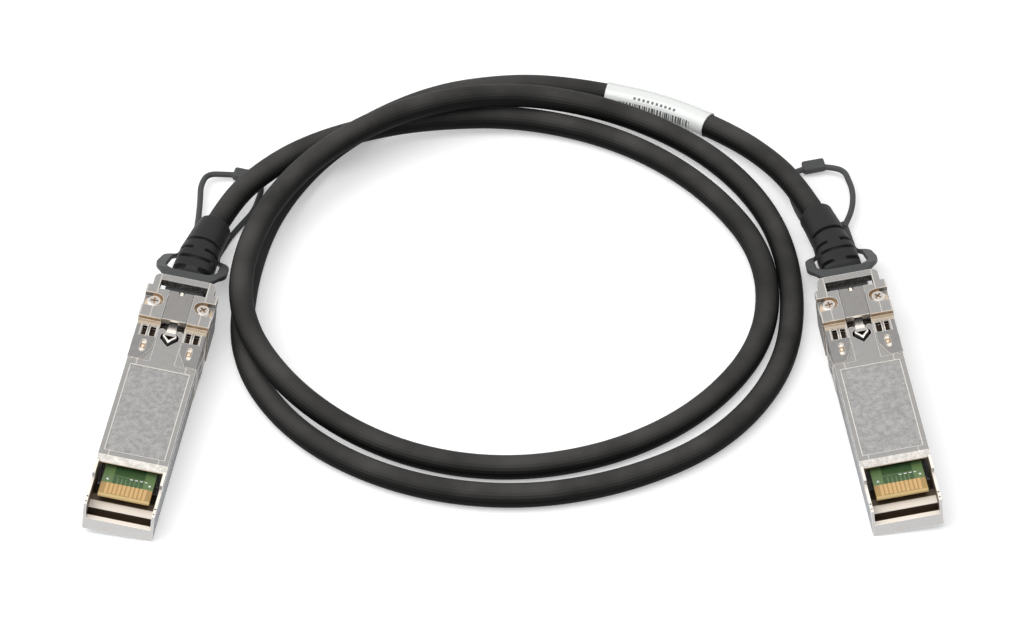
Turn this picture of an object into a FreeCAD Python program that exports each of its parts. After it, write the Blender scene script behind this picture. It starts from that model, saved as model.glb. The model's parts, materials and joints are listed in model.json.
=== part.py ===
"""Direct attach copper cable: two small form-factor plugs joined by one round copper cable.

Millimetres, +Z up, the parts rest on z = 0. Each plug is modelled in its own frame: x across,
y rearward from the host end, z up from its lower face, latch face upward.
"""
import FreeCAD, Part
import math
import os

V = FreeCAD.Vector

# placing of the plugs: host end centre, turn about Z and roll about the plug's own length,
# with the sideways bend of the boot, its rear end, and its grooves in the sides and over the top
PLUGS = {
    "left": {"origin": V(-73.7, -50.35, 0), "turn": -9.1, "roll": 7.0, "bend": 1.9, "end": 79.3,
             "side_grooves": (64.6, 69.8), "top_grooves": (67.3, 72.4)},
    "right": {"origin": V(74.05, -49.2, 0), "turn": 7.65, "roll": -7.0, "bend": -2.5, "end": 81.3,
              "side_grooves": (65.5, 70.6), "top_grooves": (68.4, 74.0)},
}

# plug shell
WALL = 1.0                    # casting thickness
HALF_WIDTH = 6.7              # inside the cage
REAR_HALF_WIDTH = 6.95        # behind the faceplate
FACE = 8.5                    # height of the latch face
SEAM = 6.3                    # parting line between the castings
SEAM_GAP = 0.05
MOUTH = 10.4                  # the latch face starts here
MOUTH_BEVEL = 1.1
MOUTH_RIM = 6.9               # height of the side walls at the host end
MOUTH_LIP = 3.0               # height of the front wall
MOUTH_HALF = 6.15             # half width of the opening between the thin side walls
CHEEK = (6.9, 10.35)          # front and rear edge of the raised cheeks beside the card
CHEEK_TOP = 8.15
CROSS_BAR = (2.5, 6.0)        # bar across the mouth under the card
CROSS_BAR_TOP = 3.4
RIBS = (12.5, 38.0)           # front edges of the ribs that hold the card
RIB_LENGTH = 4.0
STOP = 47.5                   # face that meets the faceplate
BASE_END = 55.8
BLOCK_END = 55.3
BLOCK_TOP = 9.5
FRAME_END = 59.3
FRAME_FLOOR = 7.8
SIDE_STEP = 0.1               # the shell is this much slimmer under the collar
COLLAR = (37.0, 46.6)         # front and rear edge of the collar
SHEET = 0.2                   # collar thickness
SCREW = (4.8, 52.2)           # axis of the cover screws

# paddle card
CARD_FRONT = 4.0
CARD_END = 44.0
CARD_HALF = 4.9
CARD_REAR_HALF = 5.5
CARD_BOTTOM = 4.9
CARD_TOP = 5.9
PAD_PITCH = 0.8
PADS = 10
PAD_END = 7.1
CONDUCTOR_RADIUS = 0.33
POTTING = (44.2, 47.2)        # front and rear face of the moulding around the conductors

# latch
PIVOT = (50.5, 7.25)          # y and z of the lever pin
PIN_RADIUS = 0.45
SLIDE_HALF = 2.3
CHANNEL_HALF = 2.45           # half width of the channel between the blocks
SLIDE_FLOOR = 8.3
SLIDE_TOP = 9.45
BOSS_TOP = 8.95
BOSS_BOTTOM = 7.5

# pull moulding
LOOP_ROD = 0.6                # radius of the finger loop
LOOP_HEIGHT = 0.9
STRAP_HALF = 4.1
STRAP_END = 82.0
STRAP_SHIFTS = {"left": 1.4, "right": -0.4}      # sideways lean of the strap
GRIP_LOOPS = {
    "left": [(-1.9, 80.2), (-2.6, 86.8), (-3.8, 93.7), (-3.2, 97.2), (2.1, 98.5), (6.7, 99.0), (8.3, 96.0),
             (8.0, 89.5), (6.0, 84.3), (4.7, 80.4)],
    "right": [(-3.9, 81.2), (-5.3, 86.4), (-5.9, 92.4), (-5.1, 97.8), (-1.7, 98.6), (2.5, 98.1), (5.9, 96.2),
              (6.5, 89.9), (5.5, 85.1), (2.9, 80.2)],
}
GRIP_TABS = {"left": (1.9, 6.5), "right": (-2.2, 2.4)}
TAB_LENGTH = (97.4, 100.2)

# cable
CABLE_DIAMETER = 4.7
CABLE_RADIUS = CABLE_DIAMETER / 2
EXIT_HEIGHT = 4.6             # axis of the cable in a boot, above the plug's lower face
BEND_FROM = 60.0              # where the boots start to bend
FIRST_RUNS = {"left": 8.0, "right": 8.0}
SLEEVE_RADIUS = 3.45
CORE_RADIUS = 2.65            # bottom of the boot's grooves
BOOT_SHOULDER = 65.2          # where the boot has risen from its flat front to its full height
LABEL_THICKNESS = 0.35
LABEL_CORNER = 38             # point of the route at the middle of the label
LABEL_REACH = 11.5            # along the cable, to each side of that point

# route of the cable between the two boots, from the left plug to the right one
ROUTE = [
    (-51.2, 41.5, 5.6), (-43.3, 47.3, 7.2), (-32.5, 53.1, 7.1), (-18, 59.6, 4.9), (2.5, 62.6, 2.8),
    (23.5, 55.6, 2.4), (40, 41.1, 2.4), (50.5, 21.6, 2.4), (49.5, -0.9, 2.4), (37, -19.9, 2.4),
    (18.5, -31.9, 2.4), (-3.5, -35.9, 2.4), (-25, -30.4, 3), (-43, -18.7, 6.9), (-53.6, 1.1, 8),
    (-51.5, 23.6, 8.6), (-40.5, 42.1, 10.4), (-23, 56.1, 10.7), (-2.5, 64.1, 8.3), (19.5, 62.6, 5.4),
    (39.5, 52.1, 3.1), (52, 34.1, 2.4), (55.6, 12.1, 2.4), (52.5, -9.4, 2.4), (40, -27.9, 2.4),
    (20.5, -38.9, 2.4), (-1, -42.9, 2.4), (-23, -38.4, 2.4), (-41.5, -25.9, 2.4), (-52.5, -6.9, 2.4),
    (-52.5, 15.6, 2.4), (-47.5, 36.6, 2.4), (-36, 55.1, 2.4), (-18, 68.6, 2.4), (-1, 72.5, 2.4),
    (12.5, 71.1, 2.7), (30.5, 65.6, 2.95), (44.5, 56.1, 3.5), (52.5, 47.4, 4.1),
]


def box(x0, x1, y0, y1, z0, z1):
    """Box between two corners."""
    return Part.makeBox(x1 - x0, y1 - y0, z1 - z0, V(x0, y0, z0))


def wide_box(half, y0, y1, z0, z1):
    """Box centred on x = 0."""
    return box(-half, half, y0, y1, z0, z1)


def pair(shape):
    """A shape and its mirror image across x = 0."""
    return [shape, shape.mirror(V(0, 0, 0), V(1, 0, 0))]


def pair_boxes(x0, x1, y0, y1, z0, z1):
    return pair(box(x0, x1, y0, y1, z0, z1))


def fuse(shapes):
    """One clean solid from overlapping shapes."""
    return shapes[0].multiFuse(shapes[1:]).removeSplitter()


def cut(shape, tools):
    return shape.cut(Part.makeCompound(tools)).removeSplitter()


def rod(start, end, radius):
    """Cylinder between two points."""
    axis = end - start
    return Part.makeCylinder(radius, axis.Length, start, axis)


def plate_xy(points, z0, z1):
    """Straight-sided outline in plan, extruded upward."""
    corners = [V(x, y, z0) for x, y in points]
    wire = Part.makePolygon(corners + corners[:1])
    return Part.Face(wire).extrude(V(0, 0, z1 - z0))


def plate_yz(points, x0, x1):
    """Straight-sided outline in side view, extruded across."""
    corners = [V(x0, y, z) for y, z in points]
    wire = Part.makePolygon(corners + corners[:1])
    return Part.Face(wire).extrude(V(x1 - x0, 0, 0))


def rounded_plate(x0, x1, y0, y1, z0, z1, radius):
    """Box whose four upright edges are rounded."""
    plain = box(x0, x1, y0, y1, z0, z1)
    upright = [e for e in plain.Edges if abs(e.BoundBox.ZLength - (z1 - z0)) < 1e-6]
    return plain.makeFillet(radius, upright)


def slot_plate(x, y0, y1, width, z0, z1):
    """Slot with round ends, lying along y."""
    r = width / 2
    ends = [Part.makeCylinder(r, z1 - z0, V(x, y, z0)) for y in (y0 + r, y1 - r)]
    return fuse([box(x - r, x + r, y0 + r, y1 - r, z0, z1)] + ends)


def arc(a, b, c):
    return Part.Arc(a, b, c).toShape()


def line(a, b):
    return Part.LineSegment(a, b).toShape()


# ---- castings ----

def base_shell():
    """Lower casting: floor, side walls, lip and cross bar of the mouth, posts and screw bosses."""
    inner = HALF_WIDTH - WALL
    body = fuse([
        wide_box(HALF_WIDTH, 0, STOP, 0, SEAM),
        wide_box(REAR_HALF_WIDTH, STOP, BASE_END, 0, SEAM),
        wide_box(HALF_WIDTH, 0, CHEEK[1], 0, MOUTH_RIM),
        wide_box(HALF_WIDTH, *CHEEK, 0, CHEEK_TOP),
    ])
    body = cut(body, [
        wide_box(inner, WALL, 54.65, WALL, FACE + 1),
        wide_box(MOUTH_HALF, WALL, CHEEK[1] + 0.5, WALL, FACE + 1),
        wide_box(MOUTH_HALF, -1, 2, MOUTH_LIP, FACE + 1),
        wide_box(3.62, 54, 57, 1.58, FACE + 1),
    ])
    inside = [wide_box(MOUTH_HALF + 0.2, *CROSS_BAR, 0.5, CROSS_BAR_TOP)]
    for y in RIBS:
        inside += pair_boxes(4.7, inner + 0.2, y, y + RIB_LENGTH, 0.5, CARD_BOTTOM - 0.02)
    inside += pair_boxes(4.7, inner + 0.2, CARD_END + 0.05, CARD_END + 1.0, 0.5, SEAM)
    for side in (-1, 1):
        x = side * SCREW[0]
        inside.append(Part.makeCylinder(1.35, SEAM - 0.5, V(x, SCREW[1], 0.5)))
        inside.append(box(min(x, side * 6), max(x, side * 6), SCREW[1] - 1.35, SCREW[1] + 1.35, 0.5, SEAM))
    body = fuse([body] + inside)
    tools = [
        wide_box(20, COLLAR[0] - 0.1, COLLAR[1] + 0.1, -1, 0.25),
        rounded_plate(-5.4, 5.4, 12, 34, -1, 0.12, 0.5),
    ]
    tools += pair_boxes(HALF_WIDTH - SIDE_STEP, 8, COLLAR[0] - 0.1, COLLAR[1] + 0.1, -1, FACE + 1)
    tools += pair_boxes(MOUTH_HALF - 0.1, 8, 1.95, 2.05, MOUTH_RIM - 0.12, FACE)
    for side in (-1, 1):
        tools.append(Part.makeCylinder(0.72, 8, V(side * SCREW[0], SCREW[1], 1.9)))
        tools.append(Part.makeCylinder(0.16, 1, V(side * (MOUTH_HALF + HALF_WIDTH) / 2, 0.75,
                                                  MOUTH_RIM - 0.8)))
    body = cut(body, tools)
    return chamfer_long_edges(body, 0.25, 0, HALF_WIDTH, 0, COLLAR[0] - 0.1)


def chamfer_long_edges(body, size, z, half, y0, y1):
    """Bevel the two long outer edges at height z between y0 and y1."""
    chosen = []
    for edge in body.Edges:
        b = edge.BoundBox
        along = b.YLength > 3 and b.XLength < 1e-6 and b.ZLength < 1e-6
        outer = abs(abs(b.XMin) - half) < 1e-6 and abs(b.ZMin - z) < 1e-6
        if along and outer and b.YMin > y0 - 0.1 and b.YMax < y1 + 0.1:
            chosen.append(edge)
    return body.makeChamfer(size, chosen)


def cover_face():
    """Latch face with its bevelled front edge, label recess and side walls."""
    low = FACE - MOUTH_BEVEL
    slab = [(MOUTH, low), (MOUTH + MOUTH_BEVEL, FACE), (STOP, FACE), (STOP, low)]
    inner = HALF_WIDTH - WALL
    pieces = [plate_yz(slab, -HALF_WIDTH, HALF_WIDTH)]
    pieces += pair_boxes(inner, HALF_WIDTH, MOUTH, STOP, SEAM + SEAM_GAP, low + 0.1)
    for y in RIBS:
        pieces += pair_boxes(4.4, inner - 0.05, y, y + RIB_LENGTH, CARD_TOP + 0.02, low + 0.1)
    tools = [rounded_plate(-5.75, 5.75, 12.8, 35.4, FACE - 0.12, FACE + 1, 0.4)]
    tools += pair_boxes(HALF_WIDTH - SIDE_STEP, 8, COLLAR[0] - 0.1, COLLAR[1] + 0.1, 5, FACE + 1)
    tools += pair_boxes(CHANNEL_HALF - 0.05, 8, COLLAR[0] - 0.1, COLLAR[1] + 0.1, FACE - 0.05, FACE + 1)
    tools += pair_boxes(2.95, 5.6, 43.3, 45.9, FACE - 0.75, FACE + 1)
    return cut(fuse(pieces), tools)


def latch_opening():
    """Room in the latch face for the boss, its neck and the step behind it."""
    outline = [(0, 41.4), (1.8, 43.35), (1.8, 44.3), (1.15, 45.1), (-1.15, 45.1), (-1.8, 44.3), (-1.8, 43.35)]
    tip = plate_xy(outline, FACE - 2, FACE + 1)
    neck = wide_box(0.95, 44.8, STOP + 0.1, FACE - 2, FACE + 1)
    step = wide_box(2.4, 45.3, STOP + 0.1, 7.5, FACE + 1)
    tongues = pair(Part.makeCylinder(0.68, 2, V(1.7, 45.25, 7.4)))
    return [tip, neck, step.cut(Part.makeCompound(tongues))]


def cover_blocks():
    """Two blocks behind the stop with the slide channel, screw seats and the rear frame."""
    blocks = pair_boxes(CHANNEL_HALF, REAR_HALF_WIDTH, STOP, BLOCK_END, SEAM + SEAM_GAP, BLOCK_TOP)
    blocks += pair_boxes(5.2, REAR_HALF_WIDTH, BLOCK_END - 0.1, 56.1, FRAME_FLOOR, BLOCK_TOP)
    frame = rounded_plate(-6.0, 6.0, 53.0, FRAME_END, FRAME_FLOOR, BLOCK_TOP, 1.2)
    frame = cut(frame, [wide_box(CHANNEL_HALF, 50, 57.8, 7, 10), wide_box(4.6, BLOCK_END, 57.8, 7, 10)])
    ledges = pair_boxes(1.95, CHANNEL_HALF + 0.05, STOP, 51.2, 7.85, SLIDE_FLOOR - 0.05)
    seat = wide_box(3.0, STOP + 0.3, 49.6, 4.9, 5.3)
    hangers = pair_boxes(CHANNEL_HALF + 0.01, 3.0, STOP + 0.3, 49.6, 4.9, SEAM + 0.5)
    return fuse(blocks + [frame] + ledges + [seat] + hangers)


def cover_shell():
    """Upper casting: latch face, blocks and rear frame in one piece."""
    body = fuse([cover_face(), cover_blocks()])
    tools = latch_opening()
    tools += pair_boxes(2.0, 2.8, 47.9, 56, 8.45, 8.95)
    tools.append(rod(V(-3.4, *PIVOT), V(3.4, *PIVOT), PIN_RADIUS + 0.02))
    tools += pair(Part.makeCylinder(1.75, 3, V(SCREW[0], SCREW[1], 8.3)))
    tools += pair_boxes(SCREW[0], 8, SCREW[1] - 1.75, SCREW[1] + 1.75, 8.3, 11)
    tools += pair(Part.makeCylinder(0.85, 5, V(SCREW[0], SCREW[1], 5)))
    body = cut(body, tools)
    dimple = Part.makeSphere(0.6, V(4.5, 40.6, FACE - 0.5))
    return fuse([body] + pair(dimple))


# ---- collar ----

def spring_finger(length, width, lift):
    """Bent strip that rises from the sheet and returns, lying along y on z = 0."""
    top = lift + SHEET * 0.8
    mid = length / 2
    outline = [(0, 0), (mid * 0.75, lift), (mid * 1.25, lift), (length, 0.05), (length, 0.05 + SHEET * 0.8),
               (mid * 1.25, top), (mid * 0.75, top), (0, SHEET)]
    return plate_yz(outline, -width / 2, width / 2)


def collar():
    """Stamped grounding collar around the shell, open over the latch."""
    front, rear = COLLAR
    side = HALF_WIDTH - SIDE_STEP + 0.02
    low = 0.02
    high = FACE - 0.03 + SHEET
    outer = wide_box(side + SHEET, front, rear, low, high)
    inner = wide_box(side, front - 1, rear + 1, low + SHEET, high - SHEET)
    edges = [e for e in outer.Edges if abs(e.BoundBox.YLength - (rear - front)) < 1e-6]
    body = outer.makeFillet(0.3, edges).cut(inner)
    mouth = plate_xy([(-4.3, front - 1), (-4.3, front), (-2.75, 40.2), (-2.6, 40.6), (-2.6, 42.6),
                      (-2.45, 42.7),
                      (-2.45, rear + 1), (2.45, rear + 1), (2.45, 42.7), (2.6, 42.6), (2.6, 40.6),
                      (2.75, 40.2),
                      (4.3, front), (4.3, front - 1)], FACE - 1, FACE + 1)
    tools = [mouth]
    tools += pair_boxes(2.9, 5.65, 43.2, 46.0, FACE - 1, FACE + 1)
    tools += pair(slot_plate(4.5, 38.9, 42.1, 1.05, FACE - 1, FACE + 1))
    for z in (1.3, 3.4, 5.5):
        tools += pair_boxes(side - 0.5, side + 1, 39.4, 45.6, z, z + 1.7)
    for x in (-5.2, -1.9, 1.4):
        tools += [box(x + a, x + a + 0.4, 39.4, 45.6, -1, low + SHEET + 0.1) for a in (0, 3.4)]
    body = body.cut(Part.makeCompound(tools))
    fingers = []
    strip = spring_finger(2.9, 0.6, 0.32)
    strip.translate(V(4.3, 43.15, high - SHEET))
    fingers += pair(strip)
    for z in (1.3, 3.4, 5.5):
        strip = spring_finger(6.3, 1.1, 0.3)
        strip.rotate(V(0, 0, 0), V(0, 1, 0), 90)
        strip.translate(V(side, 39.35, z + 0.85))
        fingers += pair(strip)
    return fuse([body] + fingers)


# ---- paddle card ----

def paddle_card():
    """Edge connector board with bevelled leading edge."""
    front = wide_box(CARD_HALF, CARD_FRONT, 12.2, CARD_BOTTOM, CARD_TOP)
    rear = wide_box(CARD_REAR_HALF, 12.0, CARD_END, CARD_BOTTOM, CARD_TOP)
    board = fuse([front, rear])
    edges = [e for e in board.Edges if e.BoundBox.YMax < CARD_FRONT + 1e-6 and e.BoundBox.XLength > 5]
    return board.makeChamfer(0.3, edges)


def contact_pads():
    """Gold contacts on both sides of the board."""
    pads = []
    for i in range(PADS):
        x = (i - (PADS - 1) / 2) * PAD_PITCH
        start = 4.55 if i % 3 else 4.4
        for z in (CARD_TOP, CARD_BOTTOM - 0.05):
            pads.append(box(x - 0.26, x + 0.26, start, PAD_END, z, z + 0.05))
    return Part.makeCompound(pads)


def memory_chip():
    """Small eight-lead memory on the board."""
    body = wide_box(1.5, 22, 25, CARD_TOP + 0.1, CARD_TOP + 0.95)
    leads = []
    for i in range(4):
        y = 22.52 + i * 0.65
        leads += pair_boxes(1.45, 2.45, y - 0.12, y + 0.12, CARD_TOP + 0.01, CARD_TOP + 0.16)
    return fuse([body] + leads)


def capacitors():
    """Coupling capacitors behind the contacts."""
    chips = []
    for x in (-2.8, -2.0, 2.0, 2.8):
        chips.append(box(x - 0.25, x + 0.25, 13.4, 14.4, CARD_TOP + 0.01, CARD_TOP + 0.5))
    return Part.makeCompound(chips)


def conductors():
    """Eight insulated conductors, in front of the potting and behind it."""
    wires = []
    seat = CONDUCTOR_RADIUS + 0.02
    for i in range(4):
        lane = i - 1.5
        for front_z, rear_z in ((CARD_TOP + seat, 3.9), (CARD_BOTTOM - seat, 2.9)):
            wires.append(rod(V(lane * 2.4, 42.4, front_z), V(lane * 2.4, POTTING[0], front_z),
                             CONDUCTOR_RADIUS))
            wires.append(rod(V(lane * 0.85, POTTING[1], rear_z), V(lane * 0.85, 53.5, rear_z),
                             CONDUCTOR_RADIUS))
    return Part.makeCompound(wires)


def inner_mould():
    """Potting that holds the conductors behind the board."""
    return wide_box(4.4, *POTTING, 1.1, 6.65)


def ferrule():
    """Crimp ring around the cable shield."""
    start, end, height = 50.0, 53.6, 3.4
    tube = rod(V(0, start, height), V(0, end, height), 2.3)
    flange = rod(V(0, start, height), V(0, start + 0.6, height), 2.38)
    return cut(fuse([tube, flange]), [rod(V(0, start - 1, height), V(0, end + 1, height), 2.0)])


def cross_tool(x, y, turn):
    """Two crossed slots of a screw head, turned about its axis."""
    slots = []
    for angle in (turn, turn + 90):
        slot = box(x - 0.75, x + 0.75, y - 0.17, y + 0.17, 8.75, 10)
        slot.rotate(V(x, y, 0), V(0, 0, 1), angle)
        slots.append(slot)
    return slots


def cover_screws():
    """Two cross-head screws that hold the castings together."""
    screws = []
    for side in (-1, 1):
        x, y = side * SCREW[0], SCREW[1]
        head = Part.makeCylinder(1.42, 0.85, V(x, y, 8.32))
        top = [e for e in head.Edges if abs(e.BoundBox.ZMin - 9.17) < 1e-6 and e.BoundBox.XLength > 1]
        head = head.makeChamfer(0.25, top)
        shank = Part.makeCylinder(0.7, 6.2, V(x, y, 2.2))
        screws.append(cut(fuse([head, shank]), cross_tool(x, y, side * 20 + 25)))
    return Part.makeCompound(screws)


# ---- latch ----

def boss_outline(grow):
    """Arrow-shaped outline of the latch boss, in plan."""
    g = grow
    side = 1.3 + g
    points = [V(0, 42.2 - 1.4 * g, 0), V(side, 43.6 - 0.4 * g, 0), V(side, 44.2, 0), V(0, 45.0 + g, 0),
              V(-side, 44.2, 0), V(-side, 43.6 - 0.4 * g, 0)]
    edges = [line(points[5], points[0]), line(points[0], points[1]), line(points[1], points[2]),
             arc(points[2], points[3], points[4]), line(points[4], points[5])]
    return Part.Face(Part.Wire(edges))


def latch_lever():
    """Rocking lever: boss in front, pivot eye, and a tail that the slide lifts."""
    outline = boss_outline(0)
    outline.translate(V(0, 0, BOSS_BOTTOM))
    boss = outline.extrude(V(0, 0, BOSS_TOP - BOSS_BOTTOM))
    slope = plate_yz([(41, 8.35), (43.0, BOSS_TOP + 0.1), (41, BOSS_TOP + 0.1)], -3, 3)
    pocket = plate_xy([(0, 42.95), (0.85, 43.9), (-0.85, 43.9)], 8.3, 10)
    boss = boss.cut(Part.makeCompound([slope, pocket]))
    neck = wide_box(0.8, 44.4, STOP + 0.6, BOSS_BOTTOM - 0.2, 8.1)
    bar = wide_box(0.92, 45.15, 46.0, 7.6, 8.45)
    side_view = [(STOP + 0.35, 6.85), (51.2, 6.75), (52.4, 6.52), (54.3, 6.12), (54.3, 7.1), (52.6, 7.75),
                 (STOP + 0.35, 7.75)]
    rocker = plate_yz(side_view, -1.7, 1.7)
    eye = rod(V(-1.7, *PIVOT), V(1.7, *PIVOT), 0.85)
    body = fuse([boss, neck, bar, rocker, eye])
    return cut(body, [rod(V(-3, *PIVOT), V(3, *PIVOT), PIN_RADIUS + 0.05)])


def lever_pin():
    """Pin of the lever, held in the blocks."""
    return rod(V(-3.35, *PIVOT), V(3.35, *PIVOT), PIN_RADIUS)


def lever_spring():
    """Folded leaf spring between its seat and the front of the lever."""
    outline = [(47.95, 5.32), (49.45, 5.32), (49.6, 5.5), (48.15, 6.72), (48.05, 6.6), (49.3, 5.44),
               (47.95, 5.44)]
    return plate_yz(outline, -1.0, 1.0)


def latch_slider():
    """Sliding plate with guide ribs, the yoke that lifts the lever, and the tab in the pull moulding."""
    plate = wide_box(SLIDE_HALF, STOP + 0.1, BLOCK_END, SLIDE_FLOOR, SLIDE_TOP)
    ribs = pair_boxes(SLIDE_HALF - 0.1, 2.75, 48.2, 54.0, 8.5, 8.9)
    legs = pair_boxes(1.9, SLIDE_HALF, 51.6, 52.4, 5.95, SLIDE_FLOOR + 0.1)
    yoke = wide_box(SLIDE_HALF, 51.6, 52.4, 5.95, 6.42)
    drop = wide_box(1.6, 54.75, BLOCK_END, 6.4, SLIDE_FLOOR + 0.1)
    tab = wide_box(1.6, 54.75, 58.6, 6.4, 7.0)
    body = fuse([plate] + ribs + legs + [yoke, drop, tab])
    notch = slot_plate(0, 54.2, 56.5, 1.15, 8.9, 10)
    nose_slot = wide_box(0.85, STOP - 1, STOP + 0.9, 8, 9.0)
    tongue = slot_plate(0, 54.5, 55.5, 0.6, 8.5, 9.3)
    return fuse([cut(body, [notch, nose_slot]), tongue])


# ---- boot and pull loop ----

def boot_axis(plug, y):
    """Point of the boot's axis at distance y from the host end."""
    past = max(0.0, y - BEND_FROM)
    return V(plug["bend"] * (past / (plug["end"] - BEND_FROM)) ** 2, y, EXIT_HEIGHT)


def boot_heading(plug, y):
    """Direction of the boot's axis at distance y, in the plug's frame."""
    slope = 2 * plug["bend"] * max(0.0, y - BEND_FROM) / (plug["end"] - BEND_FROM) ** 2
    return V(slope, 1, 0).normalize()


def section(centre, across, half_width, low, high, power):
    """Closed smooth section: a superellipse between two heights, upright, along the given direction."""
    points = []
    middle, half = (low + high) / 2, (high - low) / 2
    for i in range(32):
        angle = 2 * math.pi * i / 32
        c, s = math.cos(angle), math.sin(angle)
        u = half_width * math.copysign(abs(c) ** (2 / power), c)
        w = half * math.copysign(abs(s) ** (2 / power), s)
        points.append(centre + across * u + V(0, 0, middle + w - centre.z))
    curve = Part.BSplineCurve()
    curve.interpolate(points, PeriodicFlag=True)
    return Part.Wire(curve.toShape())


def blended(stations, y):
    """Values of a table of stations at y, eased from one station to the next."""
    for (y0, *low), (y1, *high) in zip(stations, stations[1:]):
        if y <= y1:
            part = (y - y0) / (y1 - y0)
            ease = part * part * (3 - 2 * part)
            return [a + (b - a) * ease for a, b in zip(low, high)]
    return list(stations[-1][1:])


def boot_section(plug, y, half, low, high, power):
    """Section of the boot square to its bent axis."""
    heading = boot_heading(plug, y)
    across = V(heading.y, -heading.x, 0)
    return section(boot_axis(plug, y), across, half, low, high, power)


def boot_sections(plug):
    """Sections of the tapered, bent part of the boot, from its shoulder to its end."""
    end = plug["end"]
    low, high = EXIT_HEIGHT - SLEEVE_RADIUS, EXIT_HEIGHT + SLEEVE_RADIUS
    stations = [(BOOT_SHOULDER, 4.0, 1.2, 7.45, 3.6), (67.6, 3.95, 1.18, 7.75, 3.2),
                (74.0, 3.6, low, high, 2.2),
                (end, SLEEVE_RADIUS, low, high, 2.0)]
    steps = 12
    wires = []
    for i in range(steps + 1):
        y = BOOT_SHOULDER + (end - BOOT_SHOULDER) * i / steps
        wires.append(boot_section(plug, y, *blended(stations, y)))
    return wires


def cable_boot(plug):
    """Moulded strain relief: flange in the shell, flat shoulder, grooved taper and round sleeve."""
    across = V(1, 0, 0)
    flat = [section(V(0, y, 3.35), across, 4.2, 1.2, 5.5, 5) for y in (BASE_END + 0.05, 62.3)]
    rise = boot_section(plug, BOOT_SHOULDER, 4.0, 1.2, 7.45, 3.6)
    sleeve = Part.makeLoft(boot_sections(plug), True, True)
    shoulder = Part.makeLoft(flat + [rise], True, True)
    neck = wide_box(3.58, 54.5, BASE_END + 0.3, 1.62, 5.1)
    flange = wide_box(3.58, 53.7, 54.6, 1.1, 5.4)
    return cut(fuse([shoulder, sleeve, neck, flange]), boot_grooves(plug))


def boot_grooves(plug):
    """Relief grooves: some in the sides, the others over the top and under the bottom."""
    half = 0.38
    grooves = []
    for y in plug["side_grooves"]:
        x = boot_axis(plug, y).x
        grooves += [groove.cut(boot_core(plug, y)) for groove in (
            box(x + 1.4, x + 6, y - half, y + half, 2.6, 10),
            box(x - 6, x - 1.4, y - half, y + half, 2.6, 10))]
    for y in plug["top_grooves"]:
        x = boot_axis(plug, y).x
        grooves += [groove.cut(boot_core(plug, y)) for groove in (
            box(x - 3.4, x + 3.4, y - half, y + half, EXIT_HEIGHT + 0.9, 10),
            box(x - 3.4, x + 3.4, y - half, y + half, 0, EXIT_HEIGHT - 0.9))]
    return grooves


def boot_core(plug, y):
    """Part of the boot that the grooves leave whole."""
    centre = boot_axis(plug, y)
    return rod(centre - V(0, 1, 0), centre + V(0, 1, 0), CORE_RADIUS)


def loop_ring(shift):
    """Ring of the pull moulding, seen from above: it parts around the boot and runs on as a strap."""
    p = [V(-3.7, 60.1, 0), V(3.7, 60.1, 0), V(7.0, 65.6, 0), V(6.7, 69.8, 0), V(4.6, 72.6, 0),
         V(STRAP_HALF, 75.5, 0)]
    q = [V(-a.x, a.y, 0) for a in p[2:]]
    right_end, left_end = V(STRAP_HALF + shift, STRAP_END, 0), V(shift - STRAP_HALF, STRAP_END, 0)
    edges = [line(p[0], p[1]), arc(p[1], V(6.15, 62.3, 0), p[2]), line(p[2], p[3]),
             arc(p[3], V(6.0, 71.5, 0), p[4]),
             arc(p[4], V(4.2, 74.0, 0), p[5]), line(p[5], right_end), line(right_end, left_end),
             line(left_end, q[3]),
             arc(q[3], V(-4.2, 74.0, 0), q[2]), arc(q[2], V(-6.0, 71.5, 0), q[1]), line(q[1], q[0]),
             arc(q[0], V(-6.15, 62.3, 0), p[0])]
    outer = Part.Face(Part.Wire(edges))
    return outer.cut(ring_hole()).extrude(V(0, 0, 12))


def ring_hole():
    """Opening of the ring around the boot, in plan."""
    p = [V(-3.2, 62.3, 0), V(3.2, 62.3, 0), V(5.0, 66.0, 0), V(4.9, 69.6, 0), V(3.4, 73.2, 0)]
    q = [V(-a.x, a.y, 0) for a in p[2:]]
    edges = [line(p[0], p[1]), arc(p[1], V(4.7, 63.8, 0), p[2]), line(p[2], p[3]),
             arc(p[3], V(4.6, 71.6, 0), p[4]),
             arc(p[4], V(0, 75.2, 0), q[2]), arc(q[2], V(-4.6, 71.6, 0), q[1]), line(q[1], q[0]),
             arc(q[0], V(-4.7, 63.8, 0), p[0])]
    return Part.Face(Part.Wire(edges))


def loop_band():
    """Side view of the pull moulding: over the boot in front, then down and flat along the table."""
    outline = [(60.0, 7.45), (61.9, 7.45), (65.9, 5.1), (69.6, 2.7), (73.0, 0.5), (74.6, 0.1),
               (83, 0.1), (83, 0.9),
               (75.0, 0.9), (73.5, 1.4), (70.0, 3.7), (66.3, 6.1), (62.2, 8.5), (60.0, 8.5)]
    return plate_yz(outline, -10, 10)


def rod_loop(points, radius):
    """Round rod along a path of runs and arcs."""
    wire = path_wire(points, path_tangents(points))
    return sweep(wire, radius)


def pull_loop(side):
    """One flexible moulding: tongue, ring around the boot, strap, finger loop and grip tab."""
    ring = loop_ring(STRAP_SHIFTS[side]).common(loop_band())
    tongue = wide_box(3.6, 55.5, 60.1, 5.8, 7.55)
    riser = wide_box(3.6, FRAME_END + 0.2, 60.9, 6.3, 8.5)
    loop = rod_loop([V(x, y, LOOP_HEIGHT) for x, y in GRIP_LOOPS[side]], LOOP_ROD)
    tab = box(*GRIP_TABS[side], *TAB_LENGTH, 0.12, 1.75)
    tab = tab.makeFillet(0.45, tab.Edges)
    body = fuse([ring, tongue, riser, loop, tab])
    return body.cut(latch_slider())


# ---- cable ----

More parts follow.
